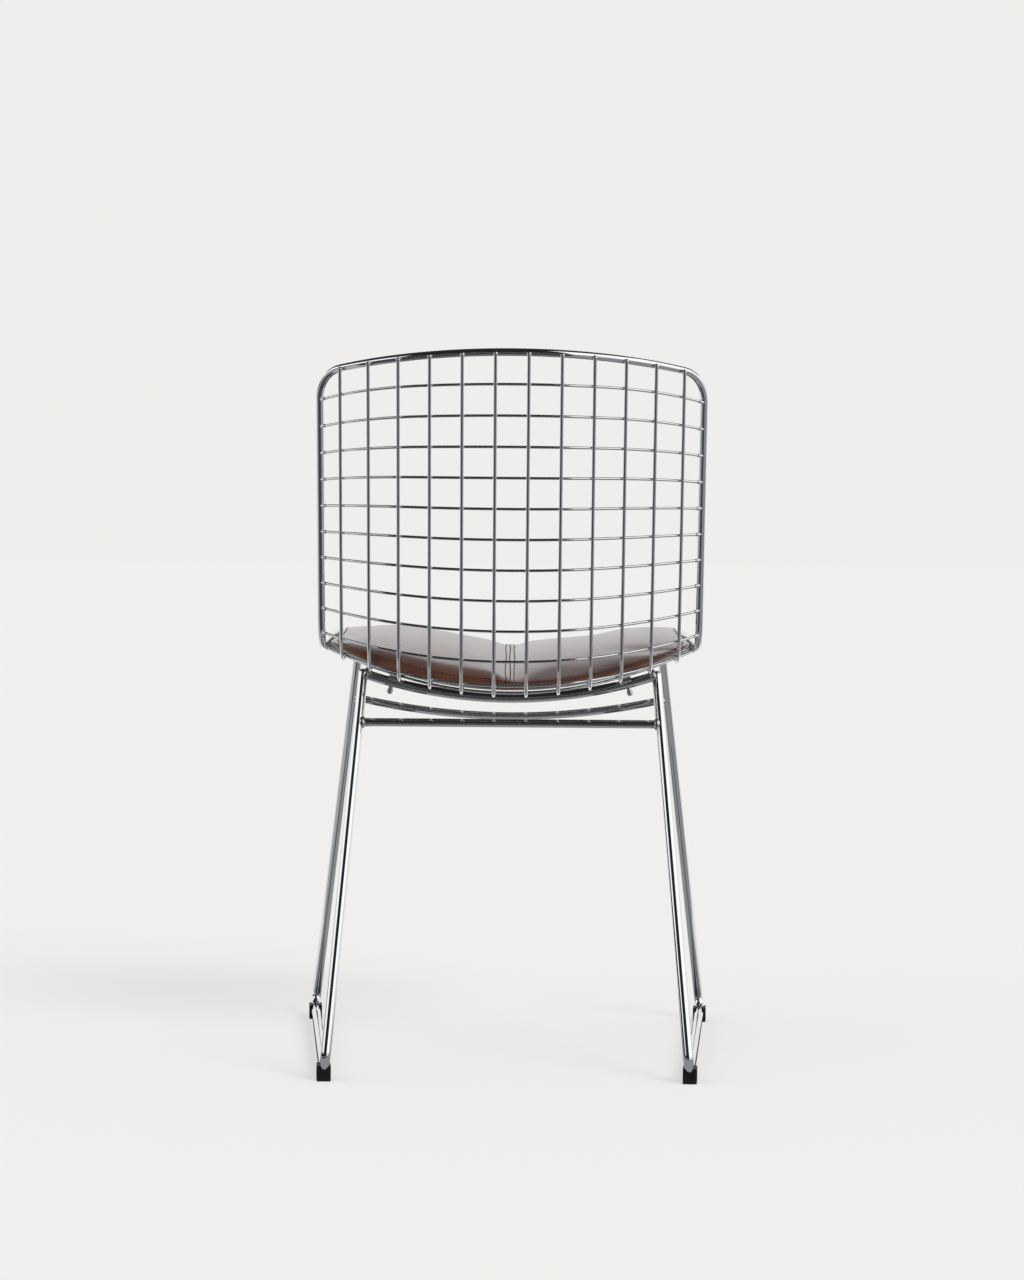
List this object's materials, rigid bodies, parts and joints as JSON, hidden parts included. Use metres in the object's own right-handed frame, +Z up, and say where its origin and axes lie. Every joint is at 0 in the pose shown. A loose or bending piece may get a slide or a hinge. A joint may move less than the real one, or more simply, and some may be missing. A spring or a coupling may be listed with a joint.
{
  "type": "metal dining chair",
  "caption": "Wire shell dining chair on a rod base with sled legs, with a loose leather seat pad.",
  "frame": {"origin": "on the floor, below the middle of the chair's bounding box", "axes": "+Z up, the chair faces -Y, and +X is to the sitter's left"},
  "size_m": [0.4914, 0.5892, 0.7993],
  "materials": {
    "chromed_steel": "polished",
    "black_feet": "satin",
    "pad_leather": "semi-gloss",
    "pad_foam": "matte"
  },
  "bodies": {
    "chair": {"shell_rim": "chromed_steel", "longitudinal_wire_01": "chromed_steel", "longitudinal_wire_02": "chromed_steel", "longitudinal_wire_03": "chromed_steel", "longitudinal_wire_04": "chromed_steel", "longitudinal_wire_05": "chromed_steel", "longitudinal_wire_06": "chromed_steel", "longitudinal_wire_07": "chromed_steel", "longitudinal_wire_08": "chromed_steel", "longitudinal_wire_09": "chromed_steel", "longitudinal_wire_10": "chromed_steel", "longitudinal_wire_11": "chromed_steel", "longitudinal_wire_12": "chromed_steel", "transverse_wire_01": "chromed_steel", "transverse_wire_02": "chromed_steel", "transverse_wire_03": "chromed_steel", "transverse_wire_04": "chromed_steel", "transverse_wire_05": "chromed_steel", "transverse_wire_06": "chromed_steel", "transverse_wire_07": "chromed_steel", "transverse_wire_08": "chromed_steel", "transverse_wire_09": "chromed_steel", "transverse_wire_10": "chromed_steel", "transverse_wire_11": "chromed_steel", "transverse_wire_12": "chromed_steel", "transverse_wire_13": "chromed_steel", "transverse_wire_14": "chromed_steel", "transverse_wire_15": "chromed_steel", "transverse_wire_16": "chromed_steel", "transverse_wire_17": "chromed_steel", "transverse_wire_18": "chromed_steel", "transverse_wire_19": "chromed_steel", "transverse_wire_20": "chromed_steel", "transverse_wire_21": "chromed_steel", "transverse_wire_22": "chromed_steel", "left_side_frame": "chromed_steel", "right_side_frame": "chromed_steel", "rear_support_rod": "chromed_steel", "front_support_rod": "chromed_steel", "rear_stretcher": "chromed_steel", "front_stretcher": "chromed_steel", "left_rear_shell_clip": "chromed_steel", "right_rear_shell_clip": "chromed_steel", "left_front_shell_clip": "chromed_steel", "right_front_shell_clip": "chromed_steel", "clip_screws": "chromed_steel", "left_rear_foot": "black_feet", "right_rear_foot": "black_feet", "left_front_foot": "black_feet", "right_front_foot": "black_feet"},
    "seat_pad": {"seat_pad_cover": "pad_leather", "seat_pad_foam": "pad_foam"}
  },
  "joints": [
    {"name": "seat_pad_lift", "type": "slide", "parent": "chair", "child": "seat_pad", "axis": [0, 0, 1], "range_m": [0, 0.06]}
  ]
}
